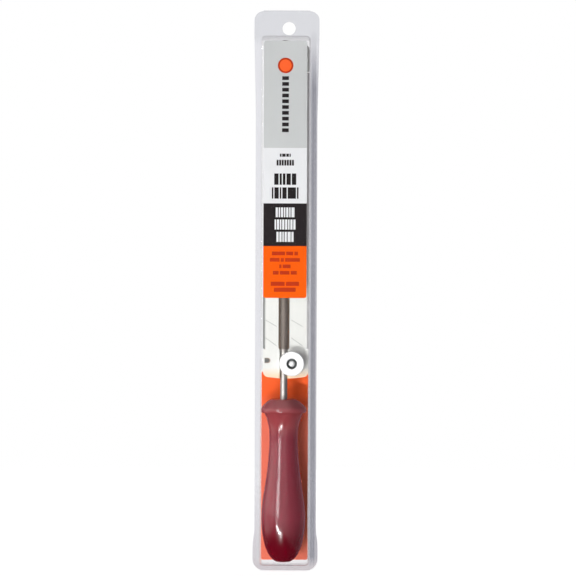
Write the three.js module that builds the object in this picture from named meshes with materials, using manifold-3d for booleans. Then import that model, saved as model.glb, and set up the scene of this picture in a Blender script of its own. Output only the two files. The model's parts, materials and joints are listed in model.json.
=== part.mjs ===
// A round chainsaw file in its filing guide, with a turned handle, packed in a clear hinged case.
// Millimetres. +Z runs up the length to the hanging hole, +X is to the right seen from the window, and
// -Y points out of the window. The origin is under the middle of the case, at its bottom edge.
import * as THREE from "three";
import { mergeVertices } from "three/addons/utils/BufferGeometryUtils.js";
import Module from "manifold-3d";

const wasm = await Module();
wasm.setup();

// Sizes shared by more than one piece
const weld = 1e-4;
const overrun = 4;
const turn = 2 * Math.PI;
const quarter = Math.PI / 2;

// The case: a deep clear shell in front, hinged along the top edge to a flat clear back
const film = 0.5;
const endHalfWidth = 21.3;
const waistHalfWidth = 20.15;
const topCornerRadius = 6;
const footCornerRadius = 7.5;
const footHeight = 14;
const footEaseHeight = 16;
const tabTaperLength = 54;
const tabHeight = 16.2;
const hangHoleRadius = 4.35;
const hangHoleDrop = 11.3;
const hangHoleOffset = 1.4;
const flangeGap = 0.1;
const mouthOffset = -0.5;
const mouthHalfWidth = 16.3;
const mouthFootMargin = 3.6;
const mouthCornerRadius = 3;
const sideDraft = 0.5;
const endDraft = 3.2;
const frontEdgeRadius = 1;
const panHeight = 2;
const panFitGap = 0.3;
const panEdgeRadius = 0.8;
const plugDepth = 3;

// The folded film along the top edge
const foldOuterRadius = 0.55;
const foldWall = 0.25;
const foldGap = 0.05;

// The printed pieces
const cardThickness = 0.4;
const cardGap = 0.1;
const cardHalfWidth = 15.2;
const cardTopHalfWidth = 13.6;
const cardShoulderRise = 4;
const cardEndMargin = 3.7;
const cardCornerRadius = 1.2;
const labelThickness = 0.35;
const labelOffset = -0.75;
const labelHalfWidth = 13.9;
const labelLength = 164.9;
const labelTopMargin = 2.3;
const labelCornerRadius = 1.6;

// Where the tool lies in the case
const toolOffset = -1.2;

// The handle
const handleLength = 105.4;
const handleFootGap = 3.8;
const guardRadius = 14.6;
const guardDomeHeight = 6.6;
const guardLipThickness = 2.4;
const guardEdgeInset = 0.6;
const gripRadius = 14.2;
const restGap = 0.3;
const socketClearance = 0.1;
// Height up the handle as a share of its length, and radius as a share of the grip's
const gripProfileShares = [
  [0, 0.27],
  [0.006, 0.41],
  [0.039, 0.65],
  [0.079, 0.79],
  [0.12, 0.88],
  [0.2, 0.979],
  [0.282, 1],
  [0.362, 0.958],
  [0.444, 0.868],
  [0.527, 0.78],
  [0.607, 0.712],
  [0.687, 0.665],
  [0.76, 0.648],
  [0.82, 0.675],
  [0.87, 0.755],
  [0.912, 0.88],
];
// Height up the guard's dome as a share of the dome's, and radius as a share of the guard's
const guardDomeShares = [
  [0, 1],
  [0.13, 0.985],
  [0.36, 0.9],
  [0.66, 0.77],
  [0.93, 0.62],
  [1, 0.55],
];

// The file
const fileRadius = 2.4;
const cutLength = 200;
const tipLength = 1.4;
const tipRadius = 1.6;
const shankRadius = 2.3;
const shankLength = 32;
const tangLength = 42;
const tangEndRadius = 1.1;
const heelLength = 1.6;

// The guide plate
const guideOverhang = 17;
const guideTopGap = 6.5;
const plateThickness = 0.8;
const fileRise = 0.92;
const plateOffset = 1.15;
const earHalfWidth = 14.75;
const earLength = 18.7;
const earCornerRadius = 4.6;
const earInnerRadius = 0.5;
const earCrown = 0.7;
const sideHalfWidth = 14.75;
const sideBendRadius = 1.5;
const sideFlangeDepth = 3;
const windowHalfWidth = 3.55;
const windowEndRadius = 1.3;
const troughClearance = 0.1;
const troughLip = 0.7;
const heelToEar = 0.1;
const markWidth = 0.4;
const markDepth = 0.2;
const markAngles = [30, 35].map(THREE.MathUtils.degToRad);
const markHeight = 17;
const markStep = 12;
const markMargin = 1.2;

// The lanced tab on each ear
const tabOffset = 10.4;
const tabRise = 1.9;
const tabHoleRadius = 1.7;
const tabHoleLength = 2.1;
const tabTongueRadius = 1.35;
const tabTilt = THREE.MathUtils.degToRad(24);

// The clamp at each end of the guide: a bolt with a flatted head, a washer and a round nut
const boltRadius = 1.95;
const boltOffset = 5.15;
const boltHeadRadius = 3;
const boltHeadThickness = 1;
const boltHeadGap = 0.05;
const boltTipShort = 1.3;
const boltDome = 0.7;
const boltClearance = 0.08;
const clampHeight = 9;
const seatGap = 0.05;
const washerRadius = 7.5;
const washerThickness = 0.8;
const nutRadius = 8.1;
const nutThickness = 7.2;
const nutChamfer = 0.6;
const nutRecessRadius = 3.35;
const nutRecessDepth = 3.4;
const nutMouthChamfer = 0.35;
const knurlCount = 44;
const knurlDepth = 0.3;
const knurlLandShare = 0.5;

// How finely round shapes are cut
const cornerSteps = 6;
const edgeSteps = 3;
const roundSteps = 40;
const smallRoundSteps = 24;
const gripSteps = 26;

// Depths, measured forward from the back of the case
const shellFlangeBack = film + flangeGap;
const cardBack = panHeight + film + cardGap;
const cardFront = cardBack + cardThickness;
const axisDepth = cardFront + restGap + guardRadius;
const windowInner = axisDepth + guardRadius + restGap;
const caseDepth = windowInner + film;
const labelBack = windowInner - cardGap - labelThickness;
const plateBack = axisDepth + fileRadius - fileRise;
const plateFront = plateBack + plateThickness;

// Heights up the case
const mouthBottom = mouthFootMargin;
const handleBottom = mouthBottom + film + handleFootGap;
const handleTop = handleBottom + handleLength;
const heelHeight = handleTop + shankLength;
const tipHeight = heelHeight + cutLength;
const earInnerLower = heelHeight - heelToEar;
const guideBottom = earInnerLower - earLength;
const guideTop = guideBottom + cutLength + guideOverhang;
const earInnerUpper = guideTop - earLength;
const mouthTop = guideTop + guideTopGap;
const caseLength = mouthTop + tabHeight;
const hangHoleHeight = caseLength - hangHoleDrop;
const ends = [
  { name: "lower", inner: earInnerLower, outward: -1, barRadius: shankRadius },
  { name: "upper", inner: earInnerUpper, outward: 1, barRadius: fileRadius },
];

const group = new THREE.Group();
group.position.y = caseDepth / 2;
const tool = new THREE.Group();
tool.position.x = toolOffset;
group.add(tool);

// Materials
function material(color, roughness, metalness, extra = {}) {
  return new THREE.MeshStandardMaterial({ color, roughness, metalness, ...extra });
}
const clearPlastic = material(0xdfe3ea, 0.12, 0, { transparent: true, opacity: 0.28 });
const orangeCard = material(0xf26a21, 0.6, 0);
const printedLabel = material(0xc9ccca, 0.45, 0);
const maroonHandle = material(0x6e1f2a, 0.25, 0);
const fileSteel = material(0x5b524d, 0.55, 0.8);
const zincPlate = material(0xe9e9e2, 0.3, 0.9);
const zincBright = material(0xf2f2f0, 0.25, 0.9);

function addPiece(parent, name, solid, finish) {
  const mesh = new THREE.Mesh(toGeometry(solid), finish);
  mesh.name = name;
  parent.add(mesh);
}

// A closed geometry as a solid that can be cut and joined
function toSolid(geometry) {
  const bare = geometry.index ? geometry.toNonIndexed() : geometry.clone();
  bare.deleteAttribute("normal");
  bare.deleteAttribute("uv");
  const merged = mergeVertices(bare, weld);
  return new wasm.Manifold(
    new wasm.Mesh({
      numProp: 3,
      vertProperties: merged.attributes.position.array,
      triVerts: new Uint32Array(merged.index.array),
    }),
  );
}

function toGeometry(solid) {
  const mesh = solid.getMesh();
  const geometry = new THREE.BufferGeometry();
  geometry.setAttribute("position", new THREE.BufferAttribute(mesh.vertProperties, 3));
  geometry.setIndex(new THREE.BufferAttribute(mesh.triVerts, 1));
  return geometry;
}

// A flat shape drawn in width and height, from one depth forward by a thickness
function slab(shape, depth, thickness) {
  const geometry = new THREE.ExtrudeGeometry(shape, {
    depth: thickness,
    bevelEnabled: false,
    curveSegments: cornerSteps,
  });
  return toSolid(geometry.translate(0, 0, depth).rotateX(quarter));
}

// A section drawn in width and depth, from one height up by a length
function bar(shape, height, length) {
  const geometry = new THREE.ExtrudeGeometry(shape, {
    depth: length,
    bevelEnabled: false,
    curveSegments: smallRoundSteps,
  });
  return toSolid(geometry.translate(0, 0, height));
}

// A solid of revolution about the file's axis, from points of radius and height
function turnedUpright(points, steps) {
  const geometry = new THREE.LatheGeometry(points, steps).rotateX(quarter);
  return toSolid(geometry.translate(0, -axisDepth, 0));
}

// A solid of revolution about a line that points forward, from points of radius and depth
function turnedForward(points, steps, x, height) {
  const flipped = points.map((p) => new THREE.Vector2(p.x, -p.y)).reverse();
  return toSolid(new THREE.LatheGeometry(flipped, steps).translate(x, 0, height));
}

function v2(x, y) {
  return new THREE.Vector2(x, y);
}

// A rectangle with round corners, in width and height
function roundedRectangle(halfWidth, bottom, top, radius) {
  const shape = new THREE.Shape();
  shape.moveTo(radius - halfWidth, bottom);
  shape.lineTo(halfWidth - radius, bottom);
  shape.absarc(halfWidth - radius, bottom + radius, radius, -quarter, 0);
  shape.absarc(halfWidth - radius, top - radius, radius, 0, quarter);
  shape.absarc(radius - halfWidth, top - radius, radius, quarter, 2 * quarter);
  shape.absarc(radius - halfWidth, bottom + radius, radius, 2 * quarter, 3 * quarter);
  return shape;
}

// One closed ring of the case's mouth at a depth, drawn in at its sides and at its ends
function mouthRing(sideInset, endInset, depth) {
  const radius = Math.max(mouthCornerRadius - sideInset, frontEdgeRadius / 2);
  const side = mouthHalfWidth - sideInset - radius;
  const low = mouthBottom + endInset + radius;
  const high = mouthTop - endInset - radius;
  const corners = [
    [side, low],
    [side, high],
    [-side, high],
    [-side, low],
  ];
  const ring = [];
  corners.forEach(([across, up], corner) => {
    for (let step = 0; step <= cornerSteps; step++) {
      const angle = quarter * (corner - 1 + step / cornerSteps);
      const x = mouthOffset + across + radius * Math.cos(angle);
      ring.push([x, -depth, up + radius * Math.sin(angle)]);
    }
  });
  return ring;
}

// Rings of equal counts as one solid with flat ends, from back to front
function loft(rings) {
  const count = rings[0].length;
  const positions = rings.flat(2);
  const faces = [];
  rings.slice(1).forEach((_, ring) => {
    for (let i = 0; i < count; i++) {
      const a = ring * count + i;
      const b = ring * count + ((i + 1) % count);
      faces.push(a, b, b + count, a, b + count, a + count);
    }
  });
  const last = (rings.length - 1) * count;
  for (let i = 1; i < count - 1; i++) {
    faces.push(0, i + 1, i);
    faces.push(last, last + i, last + i + 1);
  }
  const geometry = new THREE.BufferGeometry();
  geometry.setAttribute("position", new THREE.Float32BufferAttribute(positions, 3));
  geometry.setIndex(faces);
  return toSolid(geometry);
}

// A tray's body: walls that lean in from one depth on, and a rounded edge round its flat face
function trayBody(inset, back, front, lean, edgeRadius) {
  const rings = [mouthRing(inset, inset, back), mouthRing(inset, inset, lean.from)];
  for (let step = 0; step <= edgeSteps; step++) {
    const angle = (quarter * step) / edgeSteps;
    const rounded = inset + edgeRadius * (1 - Math.cos(angle));
    const depth = front - edgeRadius + edgeRadius * Math.sin(angle);
    rings.push(mouthRing(rounded + lean.side, rounded + lean.end, depth));
  }
  return loft(rings);
}

// The flange's outline: wider at the hanging tab and at the foot than along the waist
function flangeShape() {
  const shape = new THREE.Shape();
  const half = endHalfWidth;
  const top = caseLength;
  const shoulder = footHeight + footEaseHeight;
  const tabFoot = top - tabHeight;
  shape.moveTo(footCornerRadius - half, 0);
  shape.lineTo(half - footCornerRadius, 0);
  shape.absarc(half - footCornerRadius, footCornerRadius, footCornerRadius, -quarter, 0);
  shape.lineTo(half, footHeight);
  shape.bezierCurveTo(
    half,
    footHeight + footEaseHeight / 2,
    waistHalfWidth,
    footHeight + footEaseHeight / 2,
    waistHalfWidth,
    shoulder,
  );
  shape.lineTo(waistHalfWidth, tabFoot - tabTaperLength);
  shape.lineTo(half, tabFoot);
  shape.absarc(half - topCornerRadius, top - topCornerRadius, topCornerRadius, 0, quarter);
  shape.absarc(
    topCornerRadius - half,
    top - topCornerRadius,
    topCornerRadius,
    quarter,
    2 * quarter,
  );
  shape.lineTo(-half, tabFoot);
  shape.lineTo(-waistHalfWidth, tabFoot - tabTaperLength);
  shape.lineTo(-waistHalfWidth, shoulder);
  shape.bezierCurveTo(
    -waistHalfWidth,
    footHeight + footEaseHeight / 2,
    -half,
    footHeight + footEaseHeight / 2,
    -half,
    footHeight,
  );
  shape.absarc(
    footCornerRadius - half,
    footCornerRadius,
    footCornerRadius,
    2 * quarter,
    3 * quarter,
  );
  return shape;
}

function hangHole() {
  const profile = [v2(0, -overrun), v2(hangHoleRadius, -overrun)];
  profile.push(v2(hangHoleRadius, overrun), v2(0, overrun));
  return turnedForward(profile, smallRoundSteps, hangHoleOffset, hangHoleHeight);
}

// The clear front: flange, deep body and window
function frontShell() {
  const flange = slab(flangeShape(), shellFlangeBack, film);
  const lean = { from: plugDepth, side: sideDraft, end: endDraft };
  const outer = trayBody(0, shellFlangeBack, caseDepth, lean, frontEdgeRadius);
  const innerRadius = frontEdgeRadius - film;
  const inner = trayBody(film, shellFlangeBack - overrun, windowInner, lean, innerRadius);
  return flange.add(outer).subtract(inner).subtract(hangHole());
}

// The clear back: flange and a shallow pan that plugs the front's mouth
function backCover() {
  const flange = slab(flangeShape(), 0, film);
  const inset = film + panFitGap;
  const upright = { from: film, side: 0, end: 0 };
  const pan = trayBody(inset, 0, panHeight + film, upright, panEdgeRadius);
  const hollow = trayBody(inset + film, -overrun, panHeight, upright, panEdgeRadius);
  return flange.add(pan).subtract(hollow).subtract(hangHole());
}

// The fold that joins front and back along the straight part of the top edge
function hingeFold() {
  const middle = (shellFlangeBack + film) / 2;
  const foot = caseLength + foldGap;
  const inner = foldOuterRadius - foldWall;
  const shape = new THREE.Shape();
  shape.absarc(0, 0, foldOuterRadius, 0, 2 * quarter);
  shape.absarc(0, 0, inner, 2 * quarter, 0, true);
  const length = 2 * (endHalfWidth - topCornerRadius);
  const geometry = new THREE.ExtrudeGeometry(shape, {
    depth: length,
    bevelEnabled: false,
    curveSegments: cornerSteps,
  });
  geometry.translate(0, 0, -length / 2).rotateY(quarter).rotateX(quarter);
  return toSolid(geometry.translate(0, -middle, foot));
}

// The card behind the tool, wide behind the handle and narrower from the guide's foot up
function backCard() {
  const bottom = mouthBottom + cardEndMargin;
  const top = mouthTop - cardEndMargin;
  const narrow = slab(
    roundedRectangle(cardTopHalfWidth, bottom, top, cardCornerRadius),
    cardBack,
    cardThickness,
  );
  const shoulder = guideBottom + cardShoulderRise;
  const wide = slab(
    roundedRectangle(cardHalfWidth, bottom, shoulder, cardCornerRadius),
    cardBack,
    cardThickness,
  );
  return narrow.add(wide).translate([mouthOffset, 0, 0]);
}

function frontLabel() {
  const top = mouthTop - endDraft - frontEdgeRadius - labelTopMargin;
  const shape = roundedRectangle(labelHalfWidth, top - labelLength, top, labelCornerRadius);
  return slab(shape, labelBack, labelThickness).translate([labelOffset, 0, 0]);
}

// The handle, turned about the file's axis, with a round guard and a socket for the tang
function handle() {
  const grip = gripProfileShares.map(([rise, size]) =>
    v2(gripRadius * size, handleBottom + handleLength * rise),
  );
  const domeFoot = handleTop - guardDomeHeight;
  const dome = guardDomeShares.map(([rise, size]) =>
    v2(guardRadius * size, domeFoot + guardDomeHeight * rise),
  );
  const socketFoot = handleTop - tangLength;
  const socketRadius = shankRadius + socketClearance;
  const points = [
    v2(0, handleBottom),
    ...new THREE.SplineCurve(grip).getPoints(gripSteps),
    v2(guardRadius - guardEdgeInset, domeFoot - guardLipThickness),
    v2(guardRadius, domeFoot - guardLipThickness + guardEdgeInset),
    ...dome,
    v2(socketRadius, handleTop),
    v2(tangEndRadius + socketClearance, socketFoot - socketClearance),
    v2(0, socketFoot - socketClearance),
  ];
  return turnedUpright(points, roundSteps);
}

// The file: a round toothed blade, a plain shank and a tapered tang
function file() {
  return turnedUpright(
    [
      v2(0, handleTop - tangLength),
      v2(tangEndRadius, handleTop - tangLength),
      v2(shankRadius, handleTop),
      v2(shankRadius, heelHeight),
      v2(fileRadius, heelHeight + heelLength),
      v2(fileRadius, tipHeight - tipLength),
      v2(tipRadius, tipHeight),
      v2(0, tipHeight),
    ],
    smallRoundSteps,
  );
}

// One ear of the guide, drawn from its inner edge at the origin out to its crowned end
function earShape(inner, outward) {
  const shape = new THREE.Shape();
  const outer = inner + outward * (earLength - earCrown);
  const bend = outer - outward * earCornerRadius;
  const crown = inner + outward * earLength;
  shape.moveTo(-earHalfWidth, inner + outward * earInnerRadius);
  shape.lineTo(-earHalfWidth, bend);
  shape.quadraticCurveTo(-earHalfWidth, outer, earCornerRadius - earHalfWidth, outer);
  shape.quadraticCurveTo(0, crown + outward * earCrown, earHalfWidth - earCornerRadius, outer);
  shape.quadraticCurveTo(earHalfWidth, outer, earHalfWidth, bend);
  shape.lineTo(earHalfWidth, inner + outward * earInnerRadius);
  shape.lineTo(earHalfWidth - earInnerRadius, inner);
  shape.lineTo(earInnerRadius - earHalfWidth, inner);
  return shape;
}

// The side of the plate, bent back along the middle of the guide, as a section
function sideFlangeShape(side) {
  const shape = new THREE.Shape();
  const innerBend = sideBendRadius - plateThickness;
  const centre = sideHalfWidth - sideBendRadius;
  const root = centre - sideBendRadius;
  const foot = -(plateFront - sideFlangeDepth);
  const face = -plateFront;
  const back = -plateBack;
  const wall = sideHalfWidth - plateThickness;
  shape.moveTo(side * root, face);
  shape.lineTo(side * centre, face);
  for (let step = 1; step <= edgeSteps; step++) {
    const angle = (quarter * step) / edgeSteps;
    const x = centre + sideBendRadius * Math.sin(angle);
    shape.lineTo(side * x, face + sideBendRadius * (1 - Math.cos(angle)));
  }
  shape.lineTo(side * sideHalfWidth, foot);
  shape.lineTo(side * wall, foot);
  for (let step = edgeSteps; step >= 0; step--) {
    const angle = (quarter * step) / edgeSteps;
    const x = centre + innerBend * Math.sin(angle);
    shape.lineTo(side * x, back + innerBend * (1 - Math.cos(angle)));
  }
  shape.lineTo(side * root, back);
  return shape;
}

// The round-bottomed channel that holds the file at an ear, as a section
function troughShape(radius, mouth) {
  const shape = new THREE.Shape();
  shape.moveTo(-radius, -mouth);
  shape.lineTo(radius, -mouth);
  shape.lineTo(radius, -axisDepth);
  shape.absarc(0, -axisDepth, radius, 0, 2 * quarter);
  return shape;
}

function troughLipShape(radius) {
  const shape = new THREE.Shape();
  const wide = radius + troughLip;
  shape.moveTo(-wide, -plateFront);
  shape.lineTo(-wide - overrun, -plateFront - overrun);
  shape.lineTo(wide + overrun, -plateFront - overrun);
  shape.lineTo(wide, -plateFront);
  shape.lineTo(radius, troughLip - plateFront);
  shape.lineTo(-radius, troughLip - plateFront);
  return shape;
}

// A hole with one round end, and the tongue that was bent out of it
function tabShape(radius, length) {
  const shape = new THREE.Shape();
  shape.moveTo(-length, -radius);
  shape.lineTo(0, -radius);
  shape.absarc(0, 0, radius, -quarter, quarter);
  shape.lineTo(-length, radius);
  return shape;
}

function tabHole(height) {
  const shape = tabShape(tabHoleRadius, tabHoleLength);
  const hole = slab(shape, plateBack - overrun, plateThickness + 2 * overrun);
  return hole.translate([-tabOffset, 0, height]);
}

function tabTongue(height) {
  const root = tabHoleLength + plateThickness;
  const shape = tabShape(tabTongueRadius, root);
  const geometry = new THREE.ExtrudeGeometry(shape, {
    depth: plateThickness,
    bevelEnabled: false,
    curveSegments: cornerSteps,
  });
  geometry.rotateX(quarter).translate(root, plateThickness, 0).rotateZ(tabTilt);
  return toSolid(geometry.translate(-tabOffset - root, -plateFront, height));
}

// A shallow slanted line across one wing, read against the bar when filing
function angleMark(side, height, slope) {
  const inner = windowHalfWidth + markMargin;
  const outer = sideHalfWidth - sideBendRadius - markMargin;
  const length = (outer - inner) / Math.cos(slope);
  const depth = markDepth + overrun;
  const box = new THREE.BoxGeometry(length, depth, markWidth);
  box.rotateY(slope);
  const x = (side * (inner + outer)) / 2;
  return toSolid(box.translate(x, depth / 2 - plateFront - overrun, height));
}

// How far the washer of one clamp lies in front of the case's back
function seatDepth(end) {
  return axisDepth + end.barRadius + seatGap;
}

// The middle of one clamp, up the case
function clampMiddle(end) {
  return end.inner + end.outward * clampHeight;
}

// The middle of the guide: a flat wing on each side of the window, and the sides bent back
function guideWings() {
  const flatHalfWidth = sideHalfWidth - sideBendRadius;
  const bottom = earInnerLower - earInnerRadius;
  const top = earInnerUpper + earInnerRadius;
  const flangeFoot = bottom + 2 * earInnerRadius;
  const flangeLength = top - 2 * earInnerRadius - flangeFoot;
  const shape = roundedRectangle(flatHalfWidth, bottom, top, earInnerRadius);
  let wings = slab(shape, plateBack, plateThickness);
  for (const side of [-1, 1]) {
    wings = wings.add(bar(sideFlangeShape(side), flangeFoot, flangeLength));
  }
  return wings;
}

// One ear with the trough under the file, the bolt's hole and the lanced tab
function finishEar(plate, end) {
  const foot = Math.min(end.inner, end.inner + end.outward * earLength);
  const start = foot - overrun;
  const long = earLength + 2 * overrun;
  const middle = clampMiddle(end);
  const tab = middle - end.outward * tabRise;
  const radius = end.barRadius + troughClearance;
  const outside = bar(troughShape(radius + plateThickness, plateFront), foot, earLength);
  const bore = [
    v2(0, plateBack - overrun),
    v2(boltRadius + boltClearance, plateBack - overrun),
    v2(boltRadius + boltClearance, plateFront + overrun),
    v2(0, plateFront + overrun),
  ];
  return plate
    .add(outside)
    .subtract(bar(troughShape(radius, plateFront + overrun), start, long))
    .subtract(bar(troughLipShape(radius), start, long))
    .subtract(turnedForward(bore, smallRoundSteps, boltOffset, middle))
    .subtract(tabHole(tab))
    .add(tabTongue(tab));
}

// The guide plate: one stamping with a long window, bent sides, and an ear at each end
function guidePlate() {
  let plate = guideWings();
  for (const { inner, outward } of ends) {
    plate = plate.add(slab(earShape(inner, outward), plateBack, plateThickness));
  }
  plate = plate.translate([plateOffset, 0, 0]);
  const window = roundedRectangle(windowHalfWidth, earInnerLower, earInnerUpper, windowEndRadius);
  plate = plate.subtract(slab(window, plateBack - overrun, plateThickness + 2 * overrun));
  for (const end of ends) {
    plate = finishEar(plate, end);
    markAngles.forEach((slope, i) => {
      const height = end.inner - end.outward * (markHeight - markStep * i);
      for (const side of [-1, 1]) {
        plate = plate.subtract(angleMark(side, height, -end.outward * slope));
      }
    });
  }
  return plate;
}

// The bolt of one clamp, its flat against the trough so that it can't turn
function clampBolt(end) {
  const headFront = plateBack - boltHeadGap;
  const headBack = headFront - boltHeadThickness;
  const nutBack = seatDepth(end) + washerThickness + seatGap;
  const tip = nutBack + nutThickness - boltTipShort;
  const height = clampMiddle(end);
  const bolt = turnedForward(
    [
      v2(0, headBack),
      v2(boltHeadRadius, headBack),
      v2(boltHeadRadius, headFront),
      v2(boltRadius, headFront),
      v2(boltRadius, tip - boltDome),
      v2(boltRadius * Math.cos(quarter / 2), tip - boltDome * (1 - Math.sin(quarter / 2))),
      v2(0, tip),
    ],
    smallRoundSteps,
    boltOffset,
    height,
  );
  const flat = end.barRadius + troughClearance + plateThickness + boltClearance;
  const waste = new THREE.BoxGeometry(overrun, overrun, 2 * boltHeadRadius + overrun);
  waste.translate(flat - overrun / 2, overrun / 2 - headFront, height);
  return bolt.subtract(toSolid(waste));
}

// The washer that spreads the nut's push over the file
function clampWasher(end) {
  const hole = boltRadius + boltClearance;
  const back = seatDepth(end);
  const front = back + washerThickness;
  const points = [
    v2(hole, back),
    v2(washerRadius, back),
    v2(washerRadius, front),
    v2(hole, front),
    v2(hole, back),
  ];
  return turnedForward(points, roundSteps, boltOffset, clampMiddle(end));
}

// The round nut: knurled rim, flat face and a recess where the bolt's end shows
function thumbNut(end) {
  const hole = boltRadius + boltClearance;
  const height = clampMiddle(end);
  const nutBack = seatDepth(end) + washerThickness + seatGap;
  const nutFront = nutBack + nutThickness;
  const floor = nutFront - nutRecessDepth;
  const body = turnedForward(
    [
      v2(hole, nutBack),
      v2(nutRadius - nutChamfer, nutBack),
      v2(nutRadius, nutBack + nutChamfer),
      v2(nutRadius, nutFront - nutChamfer),
      v2(nutRadius - nutChamfer, nutFront),
      v2(nutRecessRadius + nutMouthChamfer, nutFront),
      v2(nutRecessRadius, nutFront - nutMouthChamfer),
      v2(nutRecessRadius, floor),
      v2(hole, floor),
      v2(hole, nutBack),
    ],
    roundSteps,
    boltOffset,
    height,
  );
  const rim = new THREE.Shape();
  for (let i = 0; i < knurlCount; i++) {
    const start = (turn * i) / knurlCount;
    const land = start + (turn * knurlLandShare) / knurlCount;
    const valley = (land + start + turn / knurlCount) / 2;
    const bottom = nutRadius - knurlDepth;
    if (i === 0) rim.moveTo(nutRadius, 0);
    else rim.lineTo(nutRadius * Math.cos(start), nutRadius * Math.sin(start));
    rim.lineTo(nutRadius * Math.cos(land), nutRadius * Math.sin(land));
    rim.lineTo(bottom * Math.cos(valley), bottom * Math.sin(valley));
  }
  const knurl = slab(rim, nutBack - overrun, nutThickness + 2 * overrun);
  return body.intersect(knurl.translate([boltOffset, 0, height]));
}

addPiece(group, "front_shell", frontShell(), clearPlastic);
addPiece(group, "back_cover", backCover(), clearPlastic);
addPiece(group, "hinge_fold", hingeFold(), clearPlastic);
addPiece(group, "back_card", backCard(), orangeCard);
addPiece(group, "front_label", frontLabel(), printedLabel);
addPiece(tool, "guide_plate", guidePlate(), zincPlate);
addPiece(tool, "round_file", file(), fileSteel);
addPiece(tool, "handle", handle(), maroonHandle);
for (const end of ends) {
  addPiece(tool, `clamp_bolt_${end.name}`, clampBolt(end), zincBright);
  addPiece(tool, `clamp_washer_${end.name}`, clampWasher(end), zincBright);
  addPiece(tool, `thumb_nut_${end.name}`, thumbNut(end), zincBright);
}

export default group;
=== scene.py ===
# A chainsaw file guide in its clear hanging case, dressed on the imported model.
# Metres throughout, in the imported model's own frame: +Z up the case, -Y out of its window.
import json
import math

import bpy
from bpy.props import FloatProperty, FloatVectorProperty, PointerProperty
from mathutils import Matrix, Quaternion, Vector

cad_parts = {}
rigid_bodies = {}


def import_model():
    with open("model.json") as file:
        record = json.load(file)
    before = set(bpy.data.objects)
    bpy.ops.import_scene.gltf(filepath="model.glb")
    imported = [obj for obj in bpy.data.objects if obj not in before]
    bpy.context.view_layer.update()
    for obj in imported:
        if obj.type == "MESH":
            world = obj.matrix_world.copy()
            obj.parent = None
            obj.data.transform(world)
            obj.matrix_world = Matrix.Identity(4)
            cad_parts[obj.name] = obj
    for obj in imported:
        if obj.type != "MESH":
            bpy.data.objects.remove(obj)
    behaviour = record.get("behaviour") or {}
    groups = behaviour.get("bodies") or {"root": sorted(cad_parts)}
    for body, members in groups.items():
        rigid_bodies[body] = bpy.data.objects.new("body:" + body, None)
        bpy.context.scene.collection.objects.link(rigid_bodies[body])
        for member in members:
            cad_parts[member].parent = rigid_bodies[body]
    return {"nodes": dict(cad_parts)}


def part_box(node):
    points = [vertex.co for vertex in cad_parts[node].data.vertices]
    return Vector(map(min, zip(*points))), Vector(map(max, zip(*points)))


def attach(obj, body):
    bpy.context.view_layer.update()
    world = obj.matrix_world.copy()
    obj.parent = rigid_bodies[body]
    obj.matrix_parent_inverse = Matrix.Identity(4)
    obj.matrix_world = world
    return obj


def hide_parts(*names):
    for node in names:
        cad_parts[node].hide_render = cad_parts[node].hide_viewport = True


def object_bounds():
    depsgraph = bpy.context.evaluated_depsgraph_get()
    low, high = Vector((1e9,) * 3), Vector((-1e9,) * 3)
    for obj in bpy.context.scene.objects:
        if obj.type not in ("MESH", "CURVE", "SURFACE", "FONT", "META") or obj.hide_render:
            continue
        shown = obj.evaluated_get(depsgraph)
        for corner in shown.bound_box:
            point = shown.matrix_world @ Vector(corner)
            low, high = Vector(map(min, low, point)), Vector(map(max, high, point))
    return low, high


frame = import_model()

bl_info = {
    "name": "Chainsaw File Guide Pack",
    "version": (1, 0, 0),
    "blender": (4, 5, 0),
    "location": "View3D > Sidebar > File Guide",
    "description": "Dresses the packed file guide, its handle, its case and its printed cards",
    "category": "Object",
}

MM = 0.001
CAD_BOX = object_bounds()
SHELL_HIGH = Vector(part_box("front_shell")[1])
LABEL_LOW, LABEL_HIGH = (Vector(corner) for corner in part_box("front_label"))
LABEL_MIDDLE = (LABEL_LOW.x + LABEL_HIGH.x) / 2
LABEL_WIDTH = LABEL_HIGH.x - LABEL_LOW.x
LABEL_LENGTH = LABEL_HIGH.z - LABEL_LOW.z
GUIDE_LOW, GUIDE_HIGH = (Vector(corner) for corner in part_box("guide_plate"))
FILE_LOW, FILE_HIGH = (Vector(corner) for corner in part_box("round_file"))
FILE_AXIS = (FILE_LOW + FILE_HIGH) / 2
# From the tip of the file's tang to its first tooth
FILE_TOOTHLESS = 74 * MM
# The lanced tabs: how far left of the file's axis they are, and how far in from the plate's ends
TAB_OFFSET = 10.9 * MM
TAB_RISE = 11.6 * MM
# The right edges of the window's mouth and of the flange beside it
MOUTH_RIGHT = 15.8 * MM
WAIST_RIGHT = 20.15 * MM
CLAMP_ENDS = ("lower", "upper")
# On a card, a face that points backwards by more than this share is on its back
BACK_SHARE = 0.5

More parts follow.
